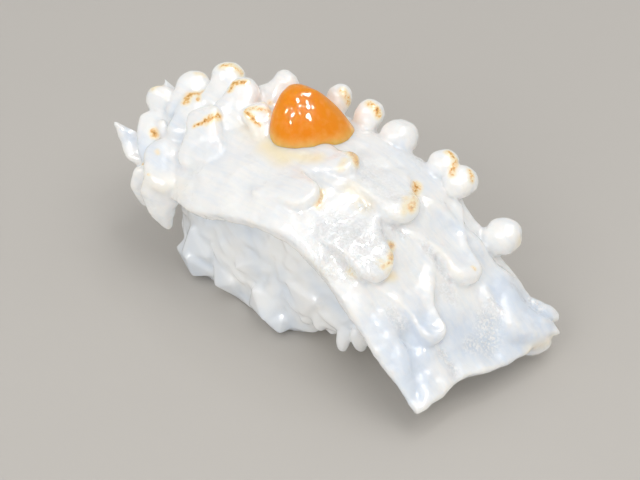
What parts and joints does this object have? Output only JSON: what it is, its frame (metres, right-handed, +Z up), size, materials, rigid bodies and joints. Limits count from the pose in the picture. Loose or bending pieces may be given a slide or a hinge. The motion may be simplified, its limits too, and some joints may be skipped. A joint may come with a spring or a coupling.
{
  "type": "squid nigiri sushi",
  "caption": "Pressed block of sushi rice under a draped slab of scored, lightly torched squid, with a dab of orange sea urchin sauce on top.",
  "frame": {"origin": "on the plate, on the flat underside of the rice, below the crown of the slab", "axes": "+X along the slab to its uncut near end, +Y across it to the edge with the round knobs, +Z up"},
  "size_m": [0.0804, 0.0352, 0.0362],
  "materials": {
    "rice": "moist, translucent cooked rice",
    "squid": "wet, translucent white squid with torched marks on its lobes",
    "sauce": "thick, glossy, translucent orange sauce"
  },
  "bodies": {
    "root": {"rice": "rice", "squid": "squid", "sauce": "sauce"}
  },
  "joints": []
}
